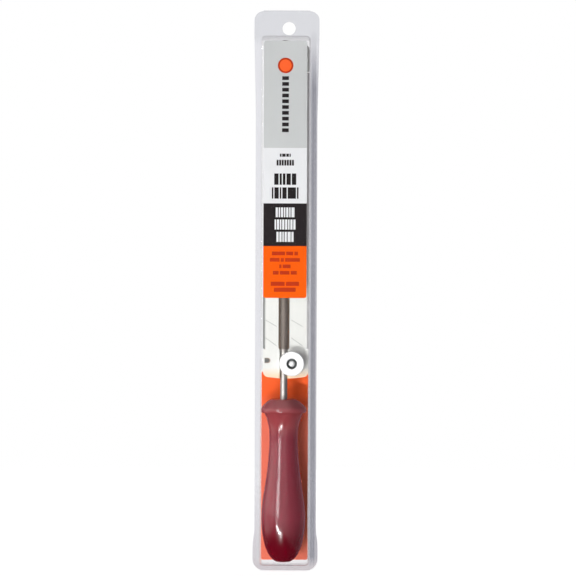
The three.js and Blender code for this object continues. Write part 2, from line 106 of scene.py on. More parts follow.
# Where a finish changes along a piece. Each band has the axis that it runs along, the edge that it
# is measured from, and how far past that edge it starts and is full.
BANDS = {
    "flange": ("Y", SHELL_HIGH.y, -2.5 * MM, -1 * MM),
    # The next four bands bound the flange's painted shade down the right; the rim band is a painted
    # highlight along its outer edge.
    "right_side": ("X", MOUTH_RIGHT, -0.6 * MM, 0.8 * MM),
    "right_rim_highlight": ("X", WAIST_RIGHT, -1.1 * MM, -0.6 * MM),
    "below_top": ("Z", SHELL_HIGH.z, -12 * MM, -50 * MM),
    "above_foot": ("Z", 0.0, 2 * MM, 9 * MM),
    "tab": ("Z", LABEL_HIGH.z, 0.0, 6 * MM),
    "beside_butt": ("Z", 0.0, 75 * MM, 12 * MM),
    "foot": ("Z", 0.0, 9 * MM, 3 * MM),
    "beside_handle": ("Z", 0.0, 118 * MM, 100 * MM),
    "left_wall": ("X", -MOUTH_RIGHT, 1 * MM, 0.0),
    "right_wall": ("X", MOUTH_RIGHT, -1.4 * MM, -0.9 * MM),
    "top_wall": ("Z", LABEL_HIGH.z, -0.3 * MM, 0.3 * MM),
    "card_painted_veil": ("Z", 0.0, 116 * MM, 96 * MM),
    "plate_foot": ("Z", GUIDE_LOW.z, 7 * MM, 1 * MM),
    "file_cut": ("Z", FILE_LOW.z + FILE_TOOTHLESS, -0.6 * MM, 0.6 * MM),
    "butt": ("Z", 0.0, 36 * MM, 22 * MM),
    "neck": ("Z", 0.0, 88 * MM, 96 * MM),
}
# The inputs of the grain group, with their defaults
GRAIN_INPUTS = {"Grain Scale": 400.0, "Stretch": 1.0, "Mottle Scale": 60.0}
# The grain of each finish, in the order of those inputs. A small stretch draws the grain out into
# lines up the case.
GRAINS = {
    "film": (700.0, 0.01, 30.0),
    "card": (900.0, 1.0, 35.0),
    "plating": (1500.0, 0.04, 90.0),
    "file": (1200.0, 0.08, 110.0),
    "handle": (260.0, 0.3, 45.0),
}
# The fine grain's noise hardly leaves this range
GRAIN_LOW, GRAIN_HIGH = 0.3, 0.7
# The darker and the lighter shade in each finish, as shares of its colour
SHADE_SHARES = {
    "card": (0.96, 1.04),
    "plating": (0.95, 1.0),
    # The teeth's two shares paint shade into each groove and a highlight onto each ridge
    "teeth": (0.75, 1.35),
    "shank": (0.85, 1.0),
    "handle": (0.93, 1.07),
}
# The bumps of each finish: their strength and their depth
BUMPS = {
    "film_flat": (0.25, 0.6 * MM),
    "film_wall": (0.05, 0.6 * MM),
    "card": (0.1, 0.05 * MM),
    "plating": (0.12, 0.03 * MM),
    "teeth": (0.6, 0.12 * MM),
    "handle": (0.06, 0.4 * MM),
}
# Each plated finish: its lowest and its highest roughness, and how metallic it is
PLATINGS = {
    "zinc_plate": (0.42, 0.55, 0.05),
    "left_side_painted_shade_steel": (0.5, 0.6, 0.4),
    "right_side_painted_light_steel": (0.5, 0.6, 0.4),
    "mark_steel": (0.5, 0.6, 0.2),
    "zinc_hardware": (0.4, 0.5, 0.3),
    "bore_steel": (0.5, 0.6, 0.9),
}


class CaseSettings(bpy.types.PropertyGroup):
    """The clear case."""

    tint: FloatVectorProperty(
        name="Window tint",
        description="Colour that the window and the walls give to what is seen through them",
        default=(0.985, 0.985, 0.985),
        subtype="COLOR",
    )
    flange_tint: FloatVectorProperty(
        name="Flange tint",
        description="Colour of one clear sheet round the edge",
        default=(0.885, 0.885, 0.905),
        subtype="COLOR",
    )
    tab_tint: FloatVectorProperty(
        name="Tab tint",
        description="Colour of one clear sheet of the hanging tab",
        default=(0.842, 0.845, 0.865),
        subtype="COLOR",
    )
    shade_tint: FloatVectorProperty(
        name="Shaded flange tint",
        description="Colour of one clear sheet along the right edge, in the body's shade",
        default=(0.53, 0.53, 0.565),
        subtype="COLOR",
    )
    low_tint: FloatVectorProperty(
        name="Low flange tint",
        description="Colour of one clear sheet beside the handle's end",
        default=(0.79, 0.775, 0.79),
        subtype="COLOR",
    )
    foot_tint: FloatVectorProperty(
        name="Foot tint",
        description="Colour of one clear sheet along the bottom edge",
        default=(0.77, 0.745, 0.76),
        subtype="COLOR",
    )
    top_tint: FloatVectorProperty(
        name="Top wall tint",
        description="Colour of the wall across the top of the window",
        default=(0.79, 0.785, 0.795),
        subtype="COLOR",
    )
    end_tint: FloatVectorProperty(
        name="End wall tint",
        description="Colour of the wall along the foot",
        default=(0.74, 0.7, 0.72),
        subtype="COLOR",
    )
    # Painted shade: the right wall is tinted darker, as the flange beside it is.
    right_wall_shade_tint: FloatVectorProperty(
        name="Right wall tint",
        description="Colour of the wall along the right side",
        default=(0.68, 0.66, 0.68),
        subtype="COLOR",
    )
    # Painted reflection: the left wall beside the handle is tinted with the card's orange.
    card_reflection_tint: FloatVectorProperty(
        name="Warm wall tint",
        description="Colour of the left wall beside the handle, which picks up the card's orange",
        default=(0.975, 0.8, 0.755),
        subtype="COLOR",
    )
    gloss: FloatProperty(
        name="Film roughness",
        description="Roughness of the film",
        default=0.04,
        min=0.0,
        max=1.0,
    )
    flat_bend: FloatProperty(
        name="Flat film IOR",
        description="Refraction of the film's flat faces, low because thin film hardly mirrors",
        default=1.07,
    )
    wall_bend: FloatProperty(
        name="Wall film IOR",
        description="Refraction of the walls and rounded edges",
        default=1.3,
    )
    clear_share: FloatProperty(
        name="Clear share",
        description="Share of the light that goes straight through the film, as thin film lets it",
        default=0.8,
        subtype="FACTOR",
    )
    flat_share: FloatProperty(
        name="Flat share",
        description="Faces that point forwards or backwards by this share or more count as flat",
        default=0.97,
        subtype="FACTOR",
    )
    smooth_angle: FloatProperty(
        name="Smooth angle",
        description="Bends of the film flatter than this are shaded as one curve",
        default=math.radians(40),
        subtype="ANGLE",
    )


class PrintSettings(bpy.types.PropertyGroup):
    """The printed card in front of the guide and the one behind it."""

    grey: FloatVectorProperty(
        name="Grey panel",
        description="Ink of the top panel",
        default=(0.59, 0.605, 0.6),
        subtype="COLOR",
    )
    white: FloatVectorProperty(
        name="White panel",
        description="Ink of the second panel",
        default=(0.82, 0.825, 0.835),
        subtype="COLOR",
    )
    black: FloatVectorProperty(
        name="Black panel",
        description="Ink of the third panel",
        default=(0.017, 0.013, 0.014),
        subtype="COLOR",
    )
    orange: FloatVectorProperty(
        name="Orange",
        description="Ink of the bottom panel",
        default=(0.91, 0.112, 0.001),
        subtype="COLOR",
    )
    rust: FloatVectorProperty(
        name="Dark red",
        description="Ink of the small bars on the orange panel",
        default=(0.5, 0.035, 0.006),
        subtype="COLOR",
    )
    card: FloatVectorProperty(
        name="Card orange",
        description="Colour of the card behind the handle",
        default=(0.98, 0.13, 0.028),
        subtype="COLOR",
    )
    # Painted reflection: the card beside the handle is paler and pinker, for the haze that the film
    # mirrors over it.
    card_painted_veil: FloatVectorProperty(
        name="Low card orange",
        description="Colour of the card beside the handle, under the film's haze",
        default=(0.82, 0.185, 0.115),
        subtype="COLOR",
    )
    # The card's bare back, and also a painted shade: the card's front behind the guide takes this
    # dull brown in place of orange, for the shade under the plate.
    board: FloatVectorProperty(
        name="Bare board",
        description="Colour of the unprinted card behind the guide",
        default=(0.46, 0.37, 0.3),
        subtype="COLOR",
    )


class ToolSettings(bpy.types.PropertyGroup):
    """The guide, its clamps, the file and the handle."""

    bevel: FloatProperty(
        name="Turned edge",
        description="Rounding on the edges of the bolts, washers and nuts",
        default=0.12 * MM,
        unit="LENGTH",
    )
    smooth_angle: FloatProperty(
        name="Metal smooth angle",
        description="Bends of the metal flatter than this are shaded as one curve",
        default=math.radians(35),
        subtype="ANGLE",
    )
    handle_smooth_angle: FloatProperty(
        name="Handle smooth angle",
        description="Bends of the handle flatter than this are shaded as one curve",
        default=math.radians(50),
        subtype="ANGLE",
    )
    zinc: FloatVectorProperty(
        name="Zinc",
        description="Colour of the zinc on the guide plate",
        default=(0.85, 0.855, 0.815),
        subtype="COLOR",
    )
    # Painted reflection: the plate's foot is tinted with the card's orange.
    warm_zinc: FloatVectorProperty(
        name="Warm zinc",
        description="Colour of the plate's foot, which picks up the card's orange",
        default=(0.95, 0.7, 0.48),
        subtype="COLOR",
    )
    nut: FloatVectorProperty(
        name="Bright zinc",
        description="Colour of the nuts, bolts and washers",
        default=(0.95, 0.95, 0.95),
        subtype="COLOR",
    )
    # The bent sides are one steel in two copies: the left's dark colour is painted shade, also used
    # in the lanced tabs, and the right's light colour is painted light.
    left_side: FloatVectorProperty(
        name="Left side steel",
        description="Colour of the guide plate's left bent side and of its lanced tabs",
        default=(0.27, 0.275, 0.265),
        subtype="COLOR",
    )
    right_side: FloatVectorProperty(
        name="Right side steel",
        description="Colour of the guide plate's right bent side, which faces away from the lamps",
        default=(0.85, 0.84, 0.83),
        subtype="COLOR",
    )
    mark: FloatVectorProperty(
        name="Angle marks",
        description="Colour of the shallow slanted lines on the guide plate",
        default=(0.55, 0.56, 0.53),
        subtype="COLOR",
    )
    # Partly painted shade: the bores' dark steel stands in for the shade deep in each nut's recess,
    # over the thread's own darker steel.
    bore: FloatVectorProperty(
        name="Bore steel",
        description="Colour of the nuts' threaded bores",
        default=(0.12, 0.13, 0.13),
        subtype="COLOR",
    )
    steel: FloatVectorProperty(
        name="File steel",
        description="Colour of the cut part of the file",
        default=(0.19, 0.16, 0.14),
        subtype="COLOR",
    )
    shank: FloatVectorProperty(
        name="Shank steel",
        description="Colour of the plain shank",
        default=(0.42, 0.4, 0.38),
        subtype="COLOR",
    )
    handle: FloatVectorProperty(
        name="Handle",
        description="Colour of the moulded handle",
        default=(0.2, 0.02, 0.034),
        subtype="COLOR",
    )
    # Painted reflection: the neck and guard are paler, for the haze the film mirrors over them.
    neck: FloatVectorProperty(
        name="Handle's neck",
        description="Colour of the handle's neck and guard, under the haze of the film",
        default=(0.27, 0.045, 0.052),
        subtype="COLOR",
    )
    # Painted shade: the handle's end is darker, where the film mirrors no haze over it.
    butt: FloatVectorProperty(
        name="Butt",
        description="Colour of the handle's end",
        default=(0.1, 0.001, 0.007),
        subtype="COLOR",
    )


class StageSettings(bpy.types.PropertyGroup):
    """Camera, floor and light."""

    distance: FloatProperty(
        name="Camera distance",
        description="From the lens to the middle of the case",
        default=1.5,
        unit="LENGTH",
    )
    pixel: FloatProperty(
        name="Pixel",
        description="Length at the case's flange that one pixel of a 576 pixel frame covers",
        default=0.655 * MM,
        unit="LENGTH",
    )
    across: FloatProperty(
        name="Across",
        description="How far right of the case's middle the camera looks",
        default=1.3 * MM,
        unit="LENGTH",
    )
    height: FloatProperty(
        name="Height",
        description="How far up the case the camera looks",
        default=185 * MM,
        unit="LENGTH",
    )
    roll: FloatProperty(
        name="Roll",
        description="Turn of the camera, which leans the case to the right",
        default=math.radians(-0.22),
        subtype="ANGLE",
    )
    floor_radius: FloatProperty(
        name="Floor radius",
        description="Where the floor has faded out",
        default=0.9,
        unit="LENGTH",
    )
    floor_colour: FloatVectorProperty(
        name="Floor",
        description="Colour of the floor",
        default=(0.93, 0.93, 0.93),
        subtype="COLOR",
    )
    world_light: FloatVectorProperty(
        name="World light",
        description="Light that falls on everything from all round",
        default=(0.165, 0.165, 0.175),
        subtype="COLOR",
    )
    room_front: FloatVectorProperty(
        name="Mirrored front",
        description="What gloss mirrors from in front",
        default=(0.95, 0.95, 0.95),
        subtype="COLOR",
    )
    room_back: FloatVectorProperty(
        name="Mirrored back",
        description="What gloss mirrors from the right and from behind",
        default=(0.28, 0.28, 0.31),
        subtype="COLOR",
    )
    room_floor: FloatVectorProperty(
        name="Mirrored floor",
        description="What gloss mirrors from below",
        default=(0.02, 0.02, 0.02),
        subtype="COLOR",
    )


SETTINGS = {
    "file_guide_case": CaseSettings,
    "file_guide_print": PrintSettings,
    "file_guide_tool": ToolSettings,
    "file_guide_stage": StageSettings,
}


def select_only(*pieces):
    """Deselects everything else and makes the first piece active."""
    for other in bpy.context.view_layer.objects:
        other.select_set(False)
    for piece in pieces:
        piece.select_set(True)
    bpy.context.view_layer.objects.active = pieces[0]


def in_edit_mode(piece, *steps):
    """Runs each step in edit mode on all of one piece."""
    select_only(piece)
    bpy.ops.object.mode_set(mode="EDIT")
    bpy.ops.mesh.select_all(action="SELECT")
    for step in steps:
        step()
    bpy.ops.object.mode_set(mode="OBJECT")


def copy_of_node(node, name):
    """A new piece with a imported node's shape, its loose triangles joined into faces."""
    piece = bpy.data.objects.new(name, frame["nodes"][node].data.copy())
    bpy.context.scene.collection.objects.link(piece)
    piece.data.materials.clear()
    join_distance = 0.001 * MM
    flat_within = math.radians(0.5)
    in_edit_mode(
        piece,
        lambda: bpy.ops.mesh.remove_doubles(threshold=join_distance),
        lambda: bpy.ops.mesh.dissolve_limited(angle_limit=flat_within),
    )
    return piece


def cut_across(piece, height):
    """Cuts every face of a piece that crosses a height."""
    in_edit_mode(
        piece,
        lambda: bpy.ops.mesh.bisect(plane_co=(0, 0, height), plane_no=(0, 0, 1)),
    )


def round_edges(piece, width, angle):
    """A small bevel on every edge sharper than the angle, applied."""
    select_only(piece)
    bevel = piece.modifiers.new("edges", "BEVEL")
    bevel.width = width
    bevel.segments = 2
    bevel.limit_method = "ANGLE"
    bevel.angle_limit = angle
    bpy.ops.object.modifier_apply(modifier=bevel.name)


def shade(piece, angle):
    """Smooth shading across bends flatter than the angle, with large flat faces kept flat."""
    select_only(piece)
    bpy.ops.object.shade_smooth_by_angle(angle=angle)
    flats = piece.modifiers.new("flats", "WEIGHTED_NORMAL")
    flats.keep_sharp = True
    bpy.ops.object.modifier_apply(modifier=flats.name)


def dress(piece, material, body, slot, *nodes):
    """Gives a finished piece its material and its body, and hides the nodes that it stands for. The
    slot is not used.
    """
    if material is not None:
        piece.data.materials.append(material)
    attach(piece, body)
    if nodes:
        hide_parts(*nodes)


class Nodes:
    """Adds nodes to one tree and joins them, in the order in which they are written."""

    def __init__(self, tree):
        self.tree = tree

    def add(self, kind, inputs=None, **values):
        node = self.tree.nodes.new(kind)
        for key, value in values.items():
            setattr(node, key, value)
        for key, value in (inputs or {}).items():
            if isinstance(value, bpy.types.NodeSocket):
                self.tree.links.new(value, node.inputs[key])
            else:
                node.inputs[key].default_value = value
        return node

    def math(self, operation, a, b=0.0):
        return self.add("ShaderNodeMath", {0: a, 1: b}, operation=operation).outputs[0]

    def mix(self, factor, a, b):
        """One of two colours, by a factor."""
        node = self.add("ShaderNodeMix", {0: factor, 6: a, 7: b}, data_type="RGBA")
        return node.outputs[2]

    def ramp(self, value, low, high, to_low=0.0, to_high=1.0):
        """A value taken from one range to another and held at its ends."""
        inputs = {0: value, 1: low, 2: high, 3: to_low, 4: to_high}
        return self.add("ShaderNodeMapRange", inputs).outputs[0]

    def place(self, axis):
        """How far each point is along one of the case's axes."""
        place = self.add("ShaderNodeTexCoord").outputs["Object"]
        return self.add("ShaderNodeSeparateXYZ", {0: place}).outputs[axis]

    def band(self, name):
        """How far each point is into a band, from 0 before its start to 1 where it is full."""
        axis, edge, start, full = BANDS[name]
        return self.ramp(self.place(axis), edge + start, edge + full)


def rgba(colour):
    """A colour with its full alpha."""
    return (*colour, 1.0)


def new_material(name):
    """An empty material: its nodes and its Principled shader, joined to the output."""
    material = bpy.data.materials.new(name)
    material.use_nodes = True
    material.node_tree.nodes.clear()
    nodes = Nodes(material.node_tree)
    shader = nodes.add("ShaderNodeBsdfPrincipled")
    output = nodes.add("ShaderNodeOutputMaterial")
    material.node_tree.links.new(shader.outputs[0], output.inputs[0])
    return material, nodes, shader


def grain_group():
    """Group: fine stretched grain over a slow mottle, as on plated metal, film and card."""
    name = "grain_and_mottle"
    if name in bpy.data.node_groups:
        return bpy.data.node_groups[name]
    group = bpy.data.node_groups.new(name, "ShaderNodeTree")
    for label, default in GRAIN_INPUTS.items():
        socket = group.interface.new_socket(label, in_out="INPUT", socket_type="NodeSocketFloat")
        socket.default_value = default
    for label in ("Grain", "Mottle"):
        group.interface.new_socket(label, in_out="OUTPUT", socket_type="NodeSocketFloat")
    nodes = Nodes(group)
    given = nodes.add("NodeGroupInput")
    place = nodes.add("ShaderNodeTexCoord").outputs["Object"]
    stretch = nodes.add("ShaderNodeCombineXYZ", {"X": 1.0, "Y": 1.0, "Z": given.outputs["Stretch"]})
    stretched = nodes.add(
        "ShaderNodeVectorMath", {0: place, 1: stretch.outputs[0]}, operation="MULTIPLY"
    )
    fine = nodes.add(
        "ShaderNodeTexNoise",
        {"Vector": stretched.outputs[0], "Scale": given.outputs["Grain Scale"], "Detail": 3.0},
    )
    slow = nodes.add(
        "ShaderNodeTexNoise",
        {"Vector": place, "Scale": given.outputs["Mottle Scale"], "Detail": 2.0},
    )
    nodes.add("NodeGroupOutput", {"Grain": fine.outputs[0], "Mottle": slow.outputs[0]})
    return group


def grain(nodes, finish):
    """Places the grain group in a material with a finish's values, and returns what it puts out."""
    node = nodes.add("ShaderNodeGroup", node_tree=grain_group())
    for label, value in zip(GRAIN_INPUTS, GRAINS[finish]):
        node.inputs[label].default_value = value
    return node.outputs["Grain"], node.outputs["Mottle"]


def shaded(colour, share):
    """A colour made darker or lighter, with its full alpha."""
    return rgba([min(1.0, part * share) for part in colour])


def mottled(nodes, spots, colour, finish):
    """A colour that goes from a finish's darker shade to its lighter one by a pattern of spots."""
    dark_share, light_share = SHADE_SHARES[finish]
    return nodes.mix(spots, shaded(colour, dark_share), shaded(colour, light_share))


def tinted(nodes, colour, *changes):
    """A colour that turns into another in each of the bands given, in that order."""
    for name, tint in changes:
        colour = nodes.mix(nodes.band(name), colour, rgba(tint))
    return colour


def grained(nodes, fine, low, high):
    """A roughness that follows the fine grain."""
    return nodes.ramp(fine, GRAIN_LOW, GRAIN_HIGH, low, high)


def bump(nodes, height, finish):
    """Bumps of a finish's strength and depth."""
    strength, depth = BUMPS[finish]
    inputs = {"Height": height, "Strength": strength, "Distance": depth}
    return nodes.add("ShaderNodeBump", inputs).outputs[0]


def join_finish(material, shader, colour, roughness, normal):
    """Joins a finish's colour, roughness and bumps to its shader."""
    links = material.node_tree.links
    links.new(colour, shader.inputs["Base Color"])
    links.new(roughness, shader.inputs["Roughness"])
    links.new(normal, shader.inputs["Normal"])


def right_shade(nodes, streaks):
    """Where the flange gets painted shade: down the right, in streaks, and less at the rim, where a
    painted highlight lightens it.
    """
    streak_low, streak_high = 0.35, 0.6
    least_share = 0.8
    rim_highlight_share = 0.55
    mask = nodes.ramp(streaks, streak_low, streak_high, least_share, 1.0)
    rim = nodes.ramp(nodes.band("right_rim_highlight"), 0.0, 1.0, 1.0, rim_highlight_share)
    for part in (nodes.band("right_side"), rim, nodes.band("below_top"), nodes.band("above_foot")):
        mask = nodes.math("MULTIPLY", mask, part)
    return mask


def film_colour(nodes):
    """Clear in the window, hazier round the edge, with painted shade down the right, and tinted in
    the walls: painted shade on the right wall, and on the left a painted reflection of the card's
    orange.
    """
    settings = bpy.context.scene.file_guide_case
    streaks, slow = grain(nodes, "film")
    edge = tinted(
        nodes,
        rgba(settings.flange_tint),
        ("beside_butt", settings.low_tint),
        ("tab", settings.tab_tint),
        ("foot", settings.foot_tint),
    )
    edge = nodes.mix(right_shade(nodes, streaks), edge, rgba(settings.shade_tint))
    # Where the left wall beside the handle takes the painted orange reflection
    warm = nodes.math("MULTIPLY", nodes.band("left_wall"), nodes.band("beside_handle"))
    wall = tinted(
        nodes,
        nodes.mix(warm, rgba(settings.tint), rgba(settings.card_reflection_tint)),
        ("top_wall", settings.top_tint),
        ("foot", settings.end_tint),
        ("right_wall", settings.right_wall_shade_tint),
    )
    return nodes.mix(nodes.band("flange"), wall, edge), slow


def clear_film(name, bend):
    """Thin clear plastic with slow dents, which lets the lamps and a share of all else through."""
    settings = bpy.context.scene.file_guide_case
    # Light crosses both faces of a sheet, so each face has the square root of the sheet's colour
    one_face_power = 0.5
    material, nodes, shader = new_material(name)
    colour, slow = film_colour(nodes)
    shader.inputs["Transmission Weight"].default_value = 1.0
    shader.inputs["Roughness"].default_value = settings.gloss
    shader.inputs["IOR"].default_value = bend
    shader.inputs["Specular IOR Level"].default_value = 0.1
    links = material.node_tree.links
    links.new(colour, shader.inputs["Base Color"])
    links.new(bump(nodes, slow, name), shader.inputs["Normal"])
    is_shadow = nodes.add("ShaderNodeLightPath").outputs["Is Shadow Ray"]
    one_face = nodes.add("ShaderNodeGamma", {"Color": colour, "Gamma": one_face_power}).outputs[0]
    seen_through = nodes.mix(is_shadow, one_face, rgba(settings.tint))
    through = nodes.add("ShaderNodeBsdfTransparent", {"Color": seen_through})
    straight = nodes.math("MAXIMUM", is_shadow, settings.clear_share)
    mixed = nodes.add("ShaderNodeMixShader", {0: straight, 1: shader.outputs[0]})
    links.new(through.outputs[0], mixed.inputs[2])
    output = next(n for n in material.node_tree.nodes if n.type == "OUTPUT_MATERIAL")
    links.new(mixed.outputs[0], output.inputs[0])
    return material


def printed(name, colour, roughness=0.42, painted_veil_colour=None):
    """Ink on coated card with the card's faint grain, and beside the handle a paler colour that
    paints in the haze the film mirrors over it.
    """
    roughness_reach = 0.05
    material, nodes, shader = new_material(name)
    shader.inputs["Specular IOR Level"].default_value = 0.1
    fine, slow = grain(nodes, "card")
    uneven = mottled(nodes, slow, colour, "card")
    if painted_veil_colour is not None:
        uneven = tinted(nodes, uneven, ("card_painted_veil", painted_veil_colour))
    rough = grained(nodes, fine, roughness - roughness_reach, roughness + roughness_reach)
    join_finish(material, shader, uneven, rough, bump(nodes, fine, "card"))
    return material


def plated(name, colour, painted_reflection_colour=None):
    """Plated steel: fine rolling lines, a slow mottle, and at the plate's foot a painted reflection
    of the card's orange.
    """
    low, high, metallic = PLATINGS[name]
    material, nodes, shader = new_material(name)
    shader.inputs["Metallic"].default_value = metallic
    shader.inputs["Specular IOR Level"].default_value = 0.2
    fine, slow = grain(nodes, "plating")
    uneven = mottled(nodes, slow, colour, "plating")
    if painted_reflection_colour is not None:
        uneven = tinted(nodes, uneven, ("plate_foot", painted_reflection_colour))
    rough = grained(nodes, fine, low, high)
    join_finish(material, shader, uneven, rough, bump(nodes, fine, "plating"))
    return material


def tooth_pattern(nodes):
    """How far up its own tooth each point is, on teeth that climb the file in spirals."""
    tooth_pitch = 0.75 * MM
    tooth_starts = 5.0
    x = nodes.math("SUBTRACT", nodes.place("X"), FILE_AXIS.x)
    y = nodes.math("SUBTRACT", nodes.place("Y"), FILE_AXIS.y)
    turns = nodes.math("DIVIDE", nodes.math("ARCTAN2", y, x), math.tau)
    climb = nodes.math("DIVIDE", nodes.place("Z"), tooth_pitch)
    twist = nodes.math("ADD", climb, nodes.math("MULTIPLY", turns, tooth_starts))
    return nodes.math("FRACT", twist)


def file_steel():
    """Dark steel with spiral teeth up the cut, and a plain bright shank below."""
    settings = bpy.context.scene.file_guide_tool
    low_roughness, high_roughness = 0.36, 0.46
    cut_roughness = 0.2
    cut_metallic = 0.4
    material, nodes, shader = new_material("file_steel")
    tooth = tooth_pattern(nodes)
    cut = nodes.band("file_cut")
    fine, slow = grain(nodes, "file")
    # Up each tooth the cut goes from darker to lighter: painted shade in the grooves and a painted
    # highlight on the ridges.
    dark = mottled(nodes, tooth, settings.steel, "teeth")
    bright = mottled(nodes, slow, settings.shank, "shank")
    rough = grained(nodes, fine, low_roughness, high_roughness)
    rougher = nodes.math("ADD", rough, nodes.math("MULTIPLY", cut, cut_roughness))
    teeth = bump(nodes, nodes.math("MULTIPLY", tooth, cut), "teeth")
    join_finish(material, shader, nodes.mix(cut, bright, dark), rougher, teeth)
    metallic = nodes.ramp(cut, 0.0, 1.0, 1.0, cut_metallic)
    material.node_tree.links.new(metallic, shader.inputs["Metallic"])
    return material


def handle_plastic():
    """Glossy moulded maroon, a little uneven in colour and skin, with painted shade at its end and
    a painted reflection of the film's haze on its neck.
    """
    settings = bpy.context.scene.file_guide_tool
    low_roughness, high_roughness = 0.13, 0.19
    material, nodes, shader = new_material("handle_plastic")
    fine, slow = grain(nodes, "handle")
    uneven = mottled(nodes, slow, settings.handle, "handle")
    # Painted shade at the end and painted reflection at the neck
    ends = tinted(nodes, uneven, ("butt", settings.butt), ("neck", settings.neck))
    rough = grained(nodes, fine, low_roughness, high_roughness)
    join_finish(material, shader, ends, rough, bump(nodes, slow, "handle"))
    shader.inputs["Coat Weight"].default_value = 0.4
    shader.inputs["Coat Roughness"].default_value = 0.06
    return material


class FILEGUIDE_OT_case(bpy.types.Operator):
    """Dresses the clear front, the clear back and the fold between them"""

    bl_idname = "fileguide.case"
    bl_label = "Clear Case"

    def execute(self, context):
        settings = context.scene.file_guide_case
        flat_film = clear_film("film_flat", settings.flat_bend)
        wall_film = clear_film("film_wall", settings.wall_bend)
        sheets = (
            ("front_shell", "case_front"),
            ("back_cover", "case_back"),
            ("hinge_fold", "case_front"),
        )
        for node, body in sheets:
            piece = copy_of_node(node, f"{node}_film")
            shade(piece, settings.smooth_angle)
            dress(piece, flat_film, body, "clear_film", node)
            piece.data.materials.append(wall_film)
            for face in piece.data.polygons:
                face.material_index = int(abs(face.normal.y) < settings.flat_share)
        return {"FINISHED"}


# The label's panels from its foot up: where each but the top one ends, as a share of the label's
# length, and each one's ink
PANEL_SHARES = (0.202, 0.3676, 0.5836)
PANEL_INKS = ("orange", "black", "white", "grey")
# Rows of plain printed blocks on the label. Each is its ink, the drop of its top from the label's
# top and its height, as shares of the label's length, then the gap between blocks and the width of
# each, as shares of the label's width.
PRINT_ROW_SHARES = (
    ("black", 0.439, 0.012, 0.014, (0.04, 0.08, 0.06, 0.03)),
    ("black", 0.463, 0.022, 0.014, (0.045, 0.045, 0.045, 0.045, 0.045, 0.045, 0.045)),
    ("black", 0.516, 0.044, 0.024, (0.1, 0.05, 0.06, 0.1, 0.1)),
    ("black", 0.57, 0.044, 0.024, (0.035, 0.1, 0.035, 0.1, 0.19, 0.035)),
    ("white", 0.648, 0.038, 0.018, (0.05, 0.035, 0.05, 0.035, 0.05, 0.035, 0.07)),
    ("white", 0.695, 0.039, 0.018, (0.035, 0.05, 0.035, 0.05, 0.05, 0.035, 0.05, 0.05)),
    ("white", 0.743, 0.039, 0.018, (0.05, 0.05, 0.035, 0.05, 0.07, 0.05)),
    ("rust", 0.82, 0.014, 0.03, (0.3, 0.16, 0.08)),
    ("rust", 0.845, 0.014, 0.03, (0.22, 0.07, 0.34)),
    ("rust", 0.87, 0.014, 0.03, (0.05, 0.18)),
    ("rust", 0.895, 0.014, 0.03, (0.13, 0.22, 0.14)),
    ("rust", 0.937, 0.016, 0.03, (0.32, 0.3)),
    ("rust", 0.96, 0.016, 0.03, (0.5,)),
)
# The column of bars below the badge: its first drop, the step, the height and the width
PRINT_BAR_COUNT = 10
PRINT_BAR_SHARES = (0.138, 0.0225, 0.0145, 0.155)
# The round badge: the drop of its middle, and the radii of its rim and its face
BADGE_DROP_SHARE = 0.096
BADGE_RIM_SHARE = 0.18
BADGE_FACE_SHARE = 0.14


def print_block(ink, across, drop, width, height):
    """One flat block of ink just in front of the label."""
    ink_lift = 0.03 * MM
    place = (across, LABEL_LOW.y - ink_lift, LABEL_HIGH.z - drop - height / 2)
    bpy.ops.object.select_all(action="DESELECT")
    bpy.ops.mesh.primitive_plane_add(size=1, location=place, rotation=(math.pi / 2, 0, 0))
    block = bpy.context.object
    block.scale = (width, height, 1)
    bpy.ops.object.transform_apply(location=True, rotation=True, scale=True)
    block.data.materials.append(ink)
    return block


def print_disc(ink, drop, radius, lift):
    """One round spot of ink, lifted off the label."""
    place = (LABEL_MIDDLE, LABEL_LOW.y - lift, LABEL_HIGH.z - drop)
    bpy.ops.object.select_all(action="DESELECT")
    bpy.ops.mesh.primitive_circle_add(
        vertices=40,
        radius=radius,
        fill_type="NGON",
        location=place,
        rotation=(math.pi / 2, 0, 0),
    )
    disc = bpy.context.object
    bpy.ops.object.transform_apply(location=True, rotation=True, scale=True)
    disc.data.materials.append(ink)
    return disc


def join_print(name, blocks):
    """Joins blocks of ink into one piece on the label."""
    select_only(*blocks)
    bpy.ops.object.join()
    piece = bpy.context.object
    piece.name = name
    dress(piece, None, "case_front", "label")


def print_rows(inks):
    """All the rows of blocks, centred across the label."""
    blocks = []
    for ink, drop, height, gap, widths in PRINT_ROW_SHARES:
        across = -(sum(widths) + gap * (len(widths) - 1)) / 2
        for share in widths:
            middle = LABEL_MIDDLE + LABEL_WIDTH * (across + share / 2)
            sizes = (LABEL_LENGTH * drop, LABEL_WIDTH * share, LABEL_LENGTH * height)
            blocks.append(print_block(inks[ink], middle, *sizes))
            across += share + gap
    return blocks


def print_bars(ink):
    """The column of bars below the badge."""
    first, step, height, width = PRINT_BAR_SHARES
    bars = []
    for bar in range(PRINT_BAR_COUNT):
        drop = LABEL_LENGTH * (first + step * bar)
        sizes = (drop, LABEL_WIDTH * width, LABEL_LENGTH * height)
        bars.append(print_block(ink, LABEL_MIDDLE, *sizes))
    return bars


def print_badge(rim_ink, face_ink):
    """The round badge: a disc of the rim's ink with one of the face's ink over it."""
    rim_lift, face_lift = 0.02 * MM, 0.04 * MM
    drop = LABEL_LENGTH * BADGE_DROP_SHARE
    rim = print_disc(rim_ink, drop, LABEL_WIDTH * BADGE_RIM_SHARE, rim_lift)
    face = print_disc(face_ink, drop, LABEL_WIDTH * BADGE_FACE_SHARE, face_lift)
    return [rim, face]


